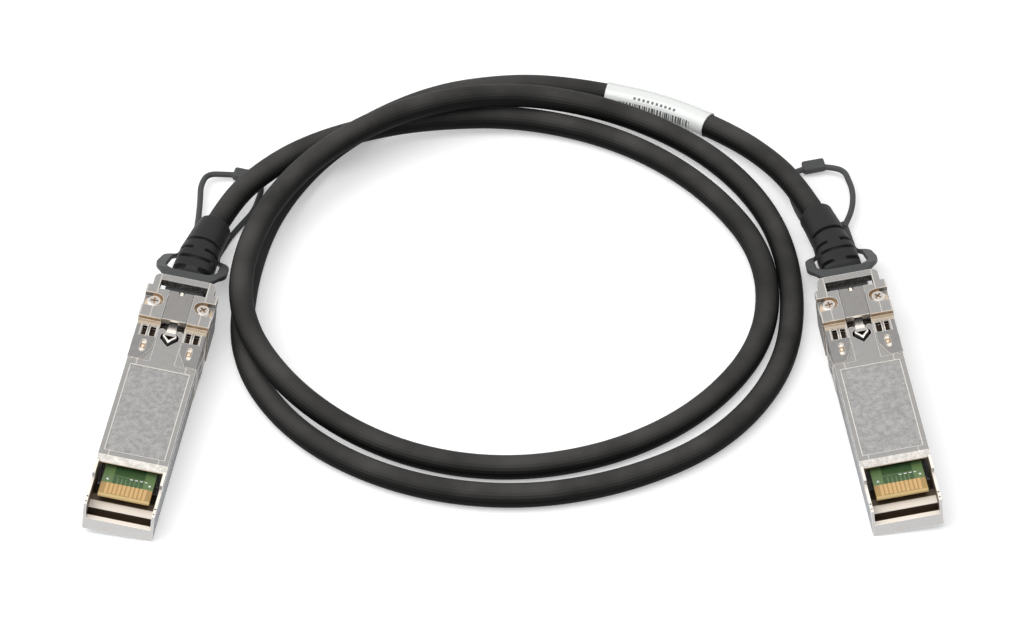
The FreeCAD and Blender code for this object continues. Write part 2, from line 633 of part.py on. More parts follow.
def path_tangents(points):
    """Length of the straight part that each corner's arc replaces on its two runs."""
    runs = [(b - a).Length for a, b in zip(points, points[1:])]
    return [0.45 * min(a, b) for a, b in zip(runs, runs[1:])]


def corner_arc(before, corner, after, tangent):
    """Arc that is tangent to both runs at a corner, and its radius."""
    u = (before - corner).normalize()
    w = (after - corner).normalize()
    half_turn = (math.pi - u.getAngle(w)) / 2
    radius = tangent / math.tan(half_turn)
    towards = (u + w).normalize()
    centre = corner + towards * math.hypot(radius, tangent)
    edge = Part.Arc(corner + u * tangent, centre - towards * radius, corner + w * tangent).toShape()
    return edge, radius


def path_wire(points, tangents):
    """Straight runs joined by tangent arcs."""
    edges = []
    start = points[0]
    for before, corner, after, tangent in zip(points, points[1:], points[2:], tangents):
        edge, _ = corner_arc(before, corner, after, tangent)
        edges.append(line(start, edge.Vertexes[0].Point))
        edges.append(edge)
        start = edge.Vertexes[1].Point
    edges.append(line(start, points[-1]))
    return Part.Wire(edges)


def sweep(wire, radius):
    """Round bar of one radius along a wire."""
    start = wire.Edges[0].Vertexes[0].Point
    towards = wire.Edges[0].Vertexes[1].Point - start
    profile = Part.Wire(Part.makeCircle(radius, start, towards))
    return wire.makePipeShell([profile], True, False)


def plug_placement(plug):
    """Placement of a plug: rolled onto one lower edge, turned about Z and moved."""
    roll = FreeCAD.Rotation(V(0, 1, 0), plug["roll"])
    turn = FreeCAD.Rotation(V(0, 0, 1), plug["turn"])
    lift = REAR_HALF_WIDTH * math.sin(math.radians(abs(plug["roll"])))
    return FreeCAD.Placement(plug["origin"] + V(0, 0, lift), turn.multiply(roll))


def place(shape, plug):
    """Carry a shape from the plug's frame to the model's."""
    placed = shape.copy()
    placed.Placement = plug_placement(plug).multiply(placed.Placement)
    return placed


def exit_points(side):
    """Where the cable leaves a boot, and the route's next point straight ahead of it."""
    plug = PLUGS[side]
    placement = plug_placement(plug)
    start = placement.multVec(boot_axis(plug, plug["end"]))
    ahead = placement.Rotation.multVec(boot_heading(plug, plug["end"]))
    return start, start + ahead * FIRST_RUNS[side]


def cable_points():
    """Whole route, boot to boot."""
    left, after_left = exit_points("left")
    right, before_right = exit_points("right")
    return [left, after_left] + [V(*p) for p in ROUTE] + [before_right, right]


def cable(points, tangents):
    """Round cable; prints its radii, length and volume."""
    wire = path_wire(points, tangents)
    body = sweep(wire, CABLE_RADIUS)
    corners = zip(points, points[1:], points[2:], tangents)
    radii = [corner_arc(*corner)[1] for corner in corners]
    print("cable radii", [round(r, 1) for r in radii])
    section_area = math.pi * CABLE_RADIUS ** 2
    print("cable length", round(wire.Length, 1), "volume ratio", body.Volume / (wire.Length * section_area))
    return body


def wrap_label(points, tangents):
    """Thin printed wrap on the cable near the right plug."""
    before, corner, after = points[LABEL_CORNER - 1:LABEL_CORNER + 2]
    start = corner + (before - corner).normalize() * LABEL_REACH
    end = corner + (after - corner).normalize() * LABEL_REACH
    wire = path_wire([start, corner, end], [tangents[LABEL_CORNER - 1]])
    return sweep(wire, CABLE_RADIUS + LABEL_THICKNESS).cut(sweep(wire, CABLE_RADIUS))


# ---- all nodes ----

def plug_nodes(side):
    """Every piece of one plug, in the plug's frame."""
    plug = PLUGS[side]
    return {
        "base_shell": base_shell(),
        "cover_shell": cover_shell(),
        "emi_collar": collar(),
        "paddle_card": paddle_card(),
        "contact_pads": contact_pads(),
        "memory_chip": memory_chip(),
        "capacitors": capacitors(),
        "inner_conductors": conductors(),
        "inner_mould": inner_mould(),
        "shield_ferrule": ferrule(),
        "cover_screws": cover_screws(),
        "latch_lever": latch_lever(),
        "lever_pin": lever_pin(),
        "lever_spring": lever_spring(),
        "latch_slider": latch_slider(),
        "pull_loop": pull_loop(side),
        "cable_boot": cable_boot(plug),
    }


def main():
    os.makedirs("parts", exist_ok=True)
    nodes = {}
    for side, plug in PLUGS.items():
        for name, shape in plug_nodes(side).items():
            nodes[side + "_" + name] = place(shape, plug)
    points = cable_points()
    tangents = path_tangents(points)
    nodes["cable"] = cable(points, tangents)
    nodes["wrap_label"] = wrap_label(points, tangents)
    for name, shape in nodes.items():
        shape.exportStep("parts/" + name + ".step")
    return nodes


main()
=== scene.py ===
import functools
import json
import math

import bpy
import numpy as np
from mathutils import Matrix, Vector


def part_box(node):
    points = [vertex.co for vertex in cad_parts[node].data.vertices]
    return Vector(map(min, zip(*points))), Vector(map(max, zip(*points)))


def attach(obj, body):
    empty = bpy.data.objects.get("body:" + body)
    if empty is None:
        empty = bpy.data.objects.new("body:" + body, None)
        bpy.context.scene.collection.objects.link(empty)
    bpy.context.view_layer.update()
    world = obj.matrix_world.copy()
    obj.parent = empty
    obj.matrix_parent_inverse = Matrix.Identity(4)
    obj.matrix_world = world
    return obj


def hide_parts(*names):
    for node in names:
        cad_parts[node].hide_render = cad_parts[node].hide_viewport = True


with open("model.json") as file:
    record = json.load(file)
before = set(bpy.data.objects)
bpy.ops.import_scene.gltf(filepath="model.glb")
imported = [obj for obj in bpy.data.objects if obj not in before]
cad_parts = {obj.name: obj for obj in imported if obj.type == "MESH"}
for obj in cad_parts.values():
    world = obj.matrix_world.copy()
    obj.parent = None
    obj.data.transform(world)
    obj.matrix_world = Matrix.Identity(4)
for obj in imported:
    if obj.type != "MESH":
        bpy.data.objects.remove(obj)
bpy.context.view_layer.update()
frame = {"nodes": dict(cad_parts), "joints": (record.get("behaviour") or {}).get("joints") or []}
MM = 0.001
SIDES = ("left", "right")
JOINTS = {joint["name"]: joint for joint in frame["joints"]}

# ---- places taken from the frame ----

PIVOT_Y, PIVOT_Z = 50.5, 7.25     # lever pin in a plug's own frame, in millimetres


class PlugFrame:
    """A plug's own frame: x across, y rearward from the host end, z up, in millimetres."""

    def __init__(self, side):
        rock = JOINTS[side + "_latch_rock"]
        self.side = side
        self.across = np.array(rock["axis"])
        self.rearward = np.array(JOINTS[side + "_latch_slide"]["axis"])
        self.up = np.cross(self.across, self.rearward)
        self.origin = np.array(rock["pos_m"]) / MM - self.rearward * PIVOT_Y - self.up * PIVOT_Z
        x, y, z = self.across
        self.turn = (0, math.atan2(-z, math.hypot(x, y)), math.atan2(y, x))

    def world(self, x, y, z):
        """Points of the plug's frame as an array of points in metres."""
        x, y, z = (np.asarray(value, dtype=float)[..., None] for value in np.broadcast_arrays(x, y, z))
        return (self.origin + x * self.across + y * self.rearward + z * self.up) * MM


PLUG = {side: PlugFrame(side) for side in SIDES}

# ---- camera, floor and light ----

CAMERA_PLACE = (0, -0.6124, 0.62539)
CAMERA_DOWN = 45.15           # degrees below the horizon
CAMERA_LENS = 158.2
SENSOR_WIDTH = 36

# place, size and power of each lamp; all look at the middle of the part
LAMPS = {
    "key": ((-0.25, -0.35, 1.15), (1.3, 0.9), 11.5),
    "fill": ((-0.9, -0.15, 0.7), (1.4, 1.0), 3.5),
    "back": ((0.2, 1.1, 0.6), (1.2, 0.3), 0.6),
}
ROOM_LIGHT = 0.35             # strength of the surroundings as a light
FLOOR_GLOW = 0.36             # what the floor adds to its own colour where the background shows
FLOOR_HALF = 3.0
FLOOR_DROP = 0.00002          # keeps the floor clear of the lowest faces


def add_camera():
    """Camera in front of the part, tilted down to its middle."""
    data = bpy.data.cameras.new("studio_camera")
    data.lens = CAMERA_LENS
    data.sensor_width = SENSOR_WIDTH
    camera = bpy.data.objects.new("studio_camera", data)
    camera.location = CAMERA_PLACE
    camera.rotation_euler = (math.radians(90 - CAMERA_DOWN), 0, 0)
    bpy.context.scene.collection.objects.link(camera)
    bpy.context.scene.camera = camera


def add_area(name, place, size, power):
    """Soft rectangular lamp that looks at the middle of the part."""
    data = bpy.data.lights.new(name, "AREA")
    data.shape = "RECTANGLE"
    data.size, data.size_y = size
    data.energy = power
    lamp = bpy.data.objects.new(name, data)
    lamp.location = place
    lamp.rotation_euler = (-Vector(place)).to_track_quat("-Z", "Y").to_euler()
    bpy.context.scene.collection.objects.link(lamp)


# ---- shader maths ----

class Flow:
    """An output of a shader node; arithmetic on it adds Math nodes."""

    def __init__(self, tree, socket=None):
        self.tree = tree
        self.socket = socket

    def node(self, kind, settings=None, inputs=None, output=0):
        """Any other node: its settings first, then the values or links of its sockets."""
        made = self.tree.nodes.new(kind)
        for name, value in (settings or {}).items():
            setattr(made, name, value)
        for name, value in (inputs or {}).items():
            self.feed(made.inputs[name], value)
        return Flow(self.tree, made.outputs[output])

    def feed(self, target, value):
        """Links a value that changes, or writes down one that doesn't."""
        if isinstance(value, Flow):
            self.tree.links.new(value.socket, target)
        else:
            target.default_value = value

    def maths(self, operation, *values):
        """Math node on values in their order."""
        return self.node("ShaderNodeMath", {"operation": operation}, dict(enumerate(values)))

    def __add__(self, other):
        return self.maths("ADD", self, other)

    def __sub__(self, other):
        return self.maths("SUBTRACT", self, other)

    def __rsub__(self, other):
        return self.maths("SUBTRACT", other, self)

    def __mul__(self, other):
        return self.maths("MULTIPLY", self, other)

    def __truediv__(self, other):
        return self.maths("DIVIDE", self, other)

    __radd__ = __add__
    __rmul__ = __mul__

    def size(self):
        """The value without its sign."""
        return self.maths("ABSOLUTE", self)

    def fraction(self):
        """What is left of the value after its whole number."""
        return self.maths("FRACT", self)

    def root(self):
        """Square root."""
        return self.maths("SQRT", self)

    def most(self, other):
        """The larger of two values."""
        return self.maths("MAXIMUM", self, other)

    def least(self, other):
        """The smaller of two values."""
        return self.maths("MINIMUM", self, other)

    def over(self, edge, soft):
        """0 below an edge and 1 above it, with a soft step."""
        return self.node("ShaderNodeMapRange", {"interpolation_type": "SMOOTHSTEP"},
                         {"Value": self, "From Min": edge - soft, "From Max": edge + soft})

    def within(self, low, high, soft):
        """1 between two edges and 0 outside them."""
        return self.over(low, soft) * (1 - self.over(high, soft))

    def near(self, other, centre, reach, soft):
        """1 inside a circle around a centre, with this value and the other as coordinates."""
        a, b = self - centre[0], other - centre[1]
        return 1 - (a * a + b * b).root().over(reach, soft)

    def blend(self, low, high):
        """Colour between two colours, chosen by this value."""
        return self.node("ShaderNodeMix", {"data_type": "RGBA"}, {0: self, 6: low, 7: high}, output=2)


def grey(level, warmth=0.0):
    """Neutral colour, warmer or cooler by a little."""
    return (level * (1 + warmth), level, level * (1 - warmth), 1)


def finish(name, paint=None, **constants):
    """Material with fixed values on its shader and whatever paint(flow) returns for its changing ones."""
    material = bpy.data.materials.new(name)
    material.use_nodes = True
    tree = material.node_tree
    shader = tree.nodes["Principled BSDF"]
    for socket, value in constants.items():
        shader.inputs[socket.replace("_", " ")].default_value = value
    flow = Flow(tree)
    changing = paint(flow) if paint else {}
    for socket, value in changing.items():
        flow.feed(shader.inputs[socket], value)
    return material


def own_place(flow):
    """A piece's own coordinates, in metres."""
    return flow.node("ShaderNodeTexCoord", output="Object")


def noise(flow, scale, detail=2.0, rough=0.5):
    """Noise of a number of waves per metre."""
    inputs = {"Vector": own_place(flow), "Scale": scale, "Detail": detail, "Roughness": rough}
    return flow.node("ShaderNodeTexNoise", inputs=inputs)


def bump(flow, height, strength, distance):
    """Normal tilted by a height that changes over the surface."""
    return flow.node("ShaderNodeBump", inputs={"Strength": strength, "Distance": distance, "Height": height})


def alike(flow, normal):
    """1 where a direction is that of the face and 0 where it is square to it."""
    face = flow.node("ShaderNodeNewGeometry", output="True Normal")
    inputs = {0: face, 1: normal}
    return flow.node("ShaderNodeVectorMath", {"operation": "DOT_PRODUCT"}, inputs, output="Value")


def facing(flow, direction):
    """How far a face looks in a direction: 1 straight along it and 0 square to it."""
    return alike(flow, tuple(direction))


def highlit_edges(flow, radius):
    """1 along the outer and inner edges of a piece, where the rounded normal leaves the face's own; the
    finishes paint edge highlights there.
    """
    rounded = flow.node("ShaderNodeBevel", {"samples": 6}, {"Radius": radius})
    return (1 - alike(flow, rounded)).over(0.06, 0.05)


# ---- painted areas of a plug ----

RECESS_HALF_WIDTH = 5.75
RECESS_HALF_LENGTH = 11.3
RECESS_MIDDLE = 24.1
RECESS_FRONT, RECESS_BACK = RECESS_MIDDLE - RECESS_HALF_LENGTH, RECESS_MIDDLE + RECESS_HALF_LENGTH
STOP = 47.5                   # where the wide rear part of the shell begins
SCREW = (4.8, 52.2)
DIMPLE = (4.5, 40.6)
V_TIP, V_SLOPE = 42.2, 1.08   # the lever's V: where its tip is, and how far it runs back per step sideways

# reach of each area in |x|, y and z of the plug's frame: from, to and softness in millimetres, None if open
AREAS = {
    "lip": (None, (None, 1.04, 0.02), (2.6, None, 0.05)),
    "nose": (None, (None, 0.2, 0.05), None),
    "rim": (None, (None, 10.38, 0.02), (6.8, None, 0.05)),
    "bevel": (None, (10.3, 11.6, 0.05), None),
    "seam": (None, None, (5.9, 6.7, 0.1)),
    "pin height": (None, None, (6.7, 7.0, 0.05)),
    "recess": ((None, RECESS_HALF_WIDTH, 0.03), (RECESS_FRONT, RECESS_BACK, 0.03), (8.2, 8.44, 0.03)),
    "mouth": ((None, 6.17, 0.02), (0.95, 10.5, 0.03), (0.9, None, 0.05)),
    "mouth bar": (None, (2.4, 4.4, 0.08), (3.3, 3.5, 0.03)),
    "mouth floor": (None, (0.9, 2.7, 0.05), (None, 1.1, 0.05)),
    "pocket": ((2.8, 5.7, 0.02), (43.2, 46.0, 0.02), (7.6, 8.3, 0.05)),
    "opening": ((None, 2.43, 0.02), (41.3, 47.7, 0.02), (None, 8.42, 0.03)),
    "ledge": ((2.4, None, 0.02), (46.65, 47.6, 0.03), (8.3, 8.6, 0.03)),
    "stop face": (None, (STOP - 0.2, STOP + 0.2, 0.05), None),
    "brow": (None, (STOP - 0.2, None, 0.05), (9.33, None, 0.04)),
    "screw seat": (None, None, (8.2, 9.38, 0.04)),
    "collar fingers": (None, (43.1, 46.1, 0.02), (8.3, None, 0.05)),
    "collar back": (None, (45.9, None, 0.15), None),
    "slider front": (None, (None, 47.72, 0.03), None),
    "slider tongue": ((None, 0.31, 0.03), (54.45, 55.6, 0.03), (9.2, None, 0.03)),
    "lever bar": (None, (44.7, 46.4, 0.03), None),
    "lever hollow": (None, (None, 43.95, 0.03), (8.0, None, 0.05)),
    "screw cross": (None, None, (8.6, 9.05, 0.05)),
    "board traces": ((None, 2.6, 0.05), (7.1, 8.6, 0.1), None),
    "board front": (None, (None, 7.1, 0.03), None),
}

# round areas of the plug's frame: centre in |x| and y, radius and softness
SPOTS = {
    "pin": ((6.42, 2.0), 0.17, 0.03),
    "keyhole front": ((4.6, 39.65), 0.45, 0.05),
    "keyhole back": ((4.45, 41.55), 0.42, 0.05),
    "dimple": (DIMPLE, 0.62, 0.04),
    "dimple middle": ((DIMPLE[0], DIMPLE[1] + 0.05), 0.36, 0.05),
    "screw seat": (SCREW, 1.83, 0.04),
    "screw cross": (SCREW, 0.95, 0.08),
}
FINGER_EDGES = ((2.6, 2.78), (3.95, 4.12), (4.48, 4.65), (5.8, 5.98))    # of the collar's fingers, in |x|


class PlugPlace:
    """Where a point lies in a plug's own frame, in millimetres, as values of a flow."""

    def __init__(self, flow, plug):
        self.flow = flow
        self.plug = plug
        inputs = {"Vector": own_place(flow), "Location": tuple(plug.origin * MM),
                  "Rotation": plug.turn, "Scale": (MM, MM, MM)}
        local = flow.node("ShaderNodeMapping", {"vector_type": "TEXTURE"}, inputs)
        self.x, self.y, self.z = (
            flow.node("ShaderNodeSeparateXYZ", inputs={0: local}, output=i) for i in range(3))
        self.across = self.x.size()

    def inside(self, name):
        """1 inside a named area: the product of its steps along each axis."""
        steps = []
        for value, reach in zip((self.across, self.y, self.z), AREAS[name]):
            low, high, soft = reach or (None, None, 0)
            if low is not None:
                steps.append(value.over(low, soft))
            if high is not None:
                steps.append(1 - value.over(high, soft))
        return functools.reduce(lambda a, b: a * b, steps)

    def spot(self, name):
        """1 inside a named round area."""
        centre, radius, soft = SPOTS[name]
        return self.across.near(self.y, centre, radius, soft)

    def front_faces(self):
        """1 on the faces that look towards the host end."""
        return facing(self.flow, -self.plug.rearward).over(0.8, 0.1)


# ---- materials ----

# painted reflection: the warm brown of metal mirroring its own hollows
WARM_REFLECTION = (0.36, 0.25, 0.15, 1)    # metal that mirrors its own warm hollows
# painted highlight: the bright warm middle of a hollow
WARM_HIGHLIGHT = (0.72, 0.58, 0.42, 1)
# painted shade in deep hollows
SHADE = (0.04, 0.026, 0.016, 1)   # deep hollows
# painted highlight on bevels, rims and rounded edges
HIGHLIGHT_CREAM = (0.9, 0.83, 0.74, 1)      # bright bevels and rounded edges
# painted reflection: warm metal next to the stop, mirroring the stop's face
TAN_REFLECTION = (0.55, 0.47, 0.37, 1)       # metal next to the stop

# pairs of colours, each blended from the first to the second
# painted shade on the faces at the stop: darker low down, lighter towards the top edge
STOP_SHADE = (0.19, 0.13, 0.085, 1), (0.5, 0.42, 0.33, 1)
# painted shade in the mouth: dark down its walls, lighter on its floor and near its top
CAVITY_SHADE = (0.07, 0.048, 0.03, 1), (0.34, 0.27, 0.2, 1)
# painted shade on the sides, bluish at the front and darker towards the back
FLANK_SHADE = (0.26, 0.275, 0.3, 1), (0.11, 0.105, 0.1, 1)
# painted light on the sloped bevel, lighter than the top
BEVEL_LIGHT = (0.42, 0.4, 0.37, 1), (0.66, 0.63, 0.59, 1)
MASK = (0.03, 0.075, 0.025, 1), (0.14, 0.22, 0.085, 1)
SUBSTRATE = (0.62, 0.45, 0.2, 1), (0.42, 0.27, 0.1, 1)
GOLD = (0.62, 0.38, 0.15, 1), (0.76, 0.5, 0.23, 1)
CERAMIC = (0.45, 0.33, 0.2, 1)
WRAP_WHITE = (0.84, 0.86, 0.84, 1)


def zinc_hollows(place, tone):
    """Painted warm reflections, painted shade and painted highlights of the mouth, the pockets, the screw
    seats and the faces at the stop.

    Returns the colour, 1 in the mouth apart from its bar, and 1 on the bar.
    """
    flow, z = place.flow, place.z
    front = place.front_faces()
    # painted shade on the faces at the stop, darker towards the collar below and lighter at the top edge,
    # uneven in noise
    stop_face_shade = z.over(9.05, 0.35) * 0.6 + noise(flow, 1300, 3).over(0.5, 0.2) * 0.4
    tone = (front * place.inside("stop face")).blend(tone, stop_face_shade.blend(*STOP_SHADE))
    # painted reflection in the screw seats: bright warm at the bottom, brown up the walls
    seat = place.spot("screw seat") * place.inside("screw seat")
    tone = seat.blend(tone, z.over(8.9, 0.6).blend(WARM_HIGHLIGHT, WARM_REFLECTION))
    # painted warm reflection on the ledge next to the stop
    tone = place.inside("ledge").blend(tone, TAN_REFLECTION)
    # painted highlight along the brow, the top front edge at the stop; the keyholes are marked in a paler
    # share of the same colour
    brow = front * place.inside("brow")
    keyhole = place.spot("keyhole back").most(place.spot("keyhole front")) * z.over(8.2, 0.05)
    tone = (keyhole * 0.85).most(brow).blend(tone, HIGHLIGHT_CREAM)
    # painted reflection in the dimple: a brown ring round a bright warm middle
    dimple = place.spot("dimple") * z.over(8.3, 0.05)
    tone = dimple.blend(tone, place.spot("dimple middle").blend(WARM_REFLECTION, WARM_HIGHLIGHT))
    # painted shade in the pockets under the collar and the opening round the lever
    opening = place.inside("opening") * z.over(6.0, 0.05)
    tone = place.inside("pocket").most(opening).blend(tone, SHADE)
    # painted highlight on the mouth's bar
    bar = place.inside("mouth bar")
    # painted shade down the mouth's walls, lighter on its floor
    depth = z.over(4.5, 3.5) * 0.85 + noise(flow, 500, 2) * 0.15
    cavity = place.inside("mouth floor").most(depth).blend(*CAVITY_SHADE)
    mouth = place.inside("mouth")
    return mouth.blend(tone, bar.blend(cavity, HIGHLIGHT_CREAM)), mouth * (1 - bar), mouth * bar


def recess_outline(place):
    """1 along the edge of the label recess, and along fine lines that run on beyond its ends."""
    sideways = (place.across - RECESS_HALF_WIDTH).size()
    lengthways = (place.y - RECESS_MIDDLE).size()
    beyond = lengthways.over(RECESS_HALF_LENGTH + 0.05, 0.05)
    end = (lengthways - RECESS_HALF_LENGTH).size() + place.across.over(RECESS_HALF_WIDTH + 0.05, 0.05)
    return 1 - (sideways - beyond).size().least(end).over(0.09, 0.03)


def zinc_casting(plug):
    """Cast zinc: mottled and pale in the label recess and streaked on the sides; painted shade on the sides
    and in its hollows, painted light on its nose and bevel, painted highlights on rims and edges and painted
    warm reflections in its hollows.
    """
    def paint(flow):
        place = PlugPlace(flow, plug)
        grain = noise(flow, 5200, 3)
        cloud = noise(flow, 900, 4, 0.65)
        upward = facing(flow, plug.up)
        top = (grain * 0.4 + cloud * 0.6).blend(grey(0.27, 0.03), grey(0.39, 0.03))
        streak = noise(flow, 1600, 3).over(0.6, 0.25) * 0.4
        seam = place.inside("seam") * noise(flow, 1700, 2).over(0.46, 0.05)
        # painted shade: faces that don't look up are darker than the top and darker still towards the back,
        # with pale streaks and a pale dotted seam
        flank = place.y.over(20, 30).blend(*FLANK_SHADE)
        sides = streak.most(seam).blend(flank, grey(0.66, 0.02))
        tone = upward.over(0.5, 0.1).blend(sides, top)
        # painted light: the front faces at the nose are lighter than the top
        nose = place.front_faces() * place.inside("nose")
        tone = nose.blend(tone, (grain * 0.5 + cloud * 0.5).blend(grey(0.48, 0.02), grey(0.58, 0.02)))
        fleck = (grain * 0.45 + cloud * 0.55).over(0.5, 0.14)
        tone = place.inside("recess").blend(tone, fleck.blend(grey(0.28, 0.02), grey(0.42, 0.02)))
        # painted light: the sloped bevel is lighter than the top
        sloped = facing(flow, (plug.up - plug.rearward) / math.sqrt(2)).over(0.9, 0.05)
        tone = (sloped * place.inside("bevel")).blend(tone, fleck.blend(*BEVEL_LIGHT))
        # painted highlight on the level rims, the lip and the outline of the label recess
        level = upward.over(0.8, 0.1)
        rim, lip = level * place.inside("rim"), level * place.inside("lip")
        line = recess_outline(place) * place.z.over(8.3, 0.03) * upward.over(0.5, 0.1)
        tone = rim.most(lip).most(line * 0.45).blend(tone, HIGHLIGHT_CREAM)
        tone, dark, matt = zinc_hollows(place, tone)
        # painted highlight along the edges, which are also smoother
        bright = highlit_edges(flow, 0.00016) * (1 - dark)
        edge_highlit = bright.blend(tone, grey(0.95, 0.03))
        # painted shade on the pin spots
        pins = place.spot("pin") * place.inside("pin height")
        return {"Base Color": pins.blend(edge_highlit, SHADE), "Roughness": 0.44 + cloud * 0.14 - bright * 0.2,
                "Metallic": 0.85 - matt * 0.8, "Normal": bump(flow, grain, 0.25, 0.00002)}
    return finish("zinc_" + plug.side, paint)


def collar_steel(plug):
    """Stamped sheet with a painted highlight on its cut edges, the edges of its fingers and its outer edges,
    and a painted warm reflection towards the stop.
    """
    def paint(flow):
        place = PlugPlace(flow, plug)
        streak = noise(flow, 900, 3)
        tone = streak.blend(grey(0.25, 0.03), grey(0.31, 0.03))
        # painted warm reflection on the collar's back near the stop
        tone = place.inside("collar back").blend(tone, TAN_REFLECTION)
        # painted highlight along the fingers' edges and the front cut edges
        edges = [place.across.within(low, high, 0.02) for low, high in FINGER_EDGES]
        fingers = functools.reduce(Flow.most, edges) * place.inside("collar fingers")
        cut_edge = facing(flow, -plug.rearward).over(0.3, 0.05)
        tone = (fingers * 0.7).most(cut_edge).blend(tone, HIGHLIGHT_CREAM)
        # painted highlight along the edges
        edge_highlit = highlit_edges(flow, 0.00014).blend(tone, grey(0.95, 0.04))
        return {"Base Color": edge_highlit, "Roughness": 0.3 + streak * 0.1}
    return finish("collar_steel_" + plug.side, paint, Metallic=0.95)


def slider_steel(plug):
    """Brushed plate with a painted highlight on its front edge, on the tongue in its notch and along its
    edges.
    """
    def paint(flow):
        place = PlugPlace(flow, plug)
        streak = noise(flow, 900, 3)
        tone = streak.blend(grey(0.25, 0.04), grey(0.3, 0.04))
        # painted highlight on the front edge, the tongue and the edges
        bright = place.inside("slider front").most(place.inside("slider tongue"))
        bright = bright.most(highlit_edges(flow, 0.0001) * 0.6)
        return {"Base Color": bright.blend(tone, HIGHLIGHT_CREAM), "Roughness": 0.36 + streak * 0.1}
    return finish("slider_steel_" + plug.side, paint, Metallic=0.9)


def lever_steel(plug):
    """Lever with painted highlights on the bar behind the boss and on the slopes of its V, and painted shade
    in the hollow between them.
    """
    def paint(flow):
        place = PlugPlace(flow, plug)
        behind_tip = place.y - V_TIP - place.across * V_SLOPE
        # painted highlight on the V's slopes and on the bar behind the boss; painted shade in the hollow
        slopes = behind_tip.within(0.12, 0.5, 0.04) * place.z.over(8.2, 0.05)
        hollow = behind_tip.over(0.62, 0.04) * place.inside("lever hollow")
        bar = place.inside("lever bar")
        tone = noise(flow, 900, 3).blend(grey(0.42, 0.03), grey(0.55, 0.03))
        tone = slopes.most(bar).blend(tone, (0.98, 0.93, 0.86, 1))
        return {"Base Color": hollow.blend(tone, SHADE), "Roughness": 0.34 - bar * 0.1}
    return finish("lever_steel_" + plug.side, paint, Metallic=0.9)


def nickel_screw(plug):
    """Polished head, mottled warm, with a painted highlight on its rim and a cross painted as a brown
    reflection.
    """
    def paint(flow):
        place = PlugPlace(flow, plug)
        streak = noise(flow, 1500, 2)
        middle = place.spot("screw cross")
        tone = streak.blend((0.4, 0.33, 0.25, 1), grey(0.7, 0.05))
        # painted highlight on the rim round the cross and along the edges
        tone = highlit_edges(flow, 0.0001).most((1 - middle) * 0.5).blend(tone, grey(0.8, 0.04))
        # painted reflection: the cross is brown
        cross = place.inside("screw cross") * middle
        return {"Base Color": cross.blend(tone, WARM_REFLECTION), "Roughness": 0.24 + streak * 0.1}
    return finish("nickel_screw_" + plug.side, paint, Metallic=0.95)


def stamped_steel(name, level=0.62, warmth=0.03, rough=0.26):
    """Plain stamped or drawn metal with a painted highlight along its edges."""
    def paint(flow):
        streak = noise(flow, 900, 3)
        # painted highlight along the edges
        edge = highlit_edges(flow, 0.00012)
        tone = streak.blend(grey(level * 0.92, warmth), grey(level * 1.08, warmth))
        return {"Base Color": edge.blend(tone, grey(0.9, 0.02)), "Roughness": rough + streak * 0.1}
    return finish(name, paint, Metallic=1.0)


def gold_contact():
    """Thin gold plating."""
    def paint(flow):
        streak = noise(flow, 1800, 2)
        return {"Base Color": streak.blend(*GOLD), "Roughness": 0.3 + streak * 0.1}
    return finish("gold_contact", paint, Metallic=0.35)


TRACE_PITCH = 0.8             # millimetres from one trace of the board to the next
DASHES_PER_MM = 1.05
SHIFT = 20.0                  # whole number that keeps a repeat's count above zero


def board_marks(place):
    """1 on the plain dot, arrow and dashes on the top of the board."""
    x, y = place.x, place.y
    dot = x.near(y, (4.1, 8.1), 0.22, 0.04)
    beside = (x + 3.9).size() - (8.35 - y) * 0.55
    arrow = (1 - beside.over(0.0, 0.02)) * y.within(7.8, 8.3, 0.02)
    beat = (x * DASHES_PER_MM + SHIFT).fraction()
    dashes = beat.within(0.2, 0.8, 0.03) * x.within(0.0, 3.5, 0.02) * y.within(8.75, 8.95, 0.03)
    return (dot + arrow + dashes) * place.z.over(5.6, 0.05)


def solder_mask(plug):
    """Green board with traces and copper planes under the mask, a tan bare front edge and plain marks."""
    def paint(flow):
        place = PlugPlace(flow, plug)
        lane = ((place.x / TRACE_PITCH + SHIFT).fraction() - 0.5).size()
        trace = (1 - lane.over(0.15, 0.04)) * place.inside("board traces")
        plane = place.across.over(2.9, 0.06) + place.y.within(8.9, 9.3, 0.06) * 0.5
        copper = (trace + plane).least(1.0)
        mottled = noise(flow, 1100, 3)
        mask = (copper * 0.7 + mottled * 0.3).blend(*MASK)
        painted = board_marks(place).blend(mask, grey(0.85))
        substrate = place.y.over(4.35, 0.05).blend(*SUBSTRATE)
        bare = place.inside("board front")
        return {"Base Color": bare.blend(painted, substrate), "Roughness": 0.3 + mottled * 0.15}
    return finish("solder_mask_" + plug.side, paint)


def black_jacket():
    """Black cable jacket with painted light on the sides that look up, uneven in clouds."""
    def paint(flow):
        cloud = noise(flow, 90, 3)
        # painted light: the up-facing sides are lighter, unevenly in clouds
        painted_top_light = facing(flow, (0, 0, 1)).over(0.72, 0.6) * (0.4 + cloud.over(0.5, 0.3) * 0.6)
        return {"Base Color": painted_top_light.blend(grey(0.003, 0.05), grey(0.085, 0.03)),
                "Roughness": 0.56 + cloud * 0.1, "Normal": bump(flow, noise(flow, 3500, 2), 0.15, 0.00003)}
    return finish("black_jacket", paint, Specular_IOR_Level=0.08)


def moulded_rubber(name, level, rough):
    """Matt moulding of one grey, a little uneven."""
    def paint(flow):
        fine = noise(flow, 4200, 2)
        cloud = noise(flow, 260, 3)
        return {"Base Color": cloud.blend(grey(level * 0.85, -0.02), grey(level * 1.15, -0.02)),
                "Roughness": rough + cloud * 0.1, "Normal": bump(flow, fine, 0.15, 0.00003)}
    return finish(name, paint, Specular_IOR_Level=0.25)


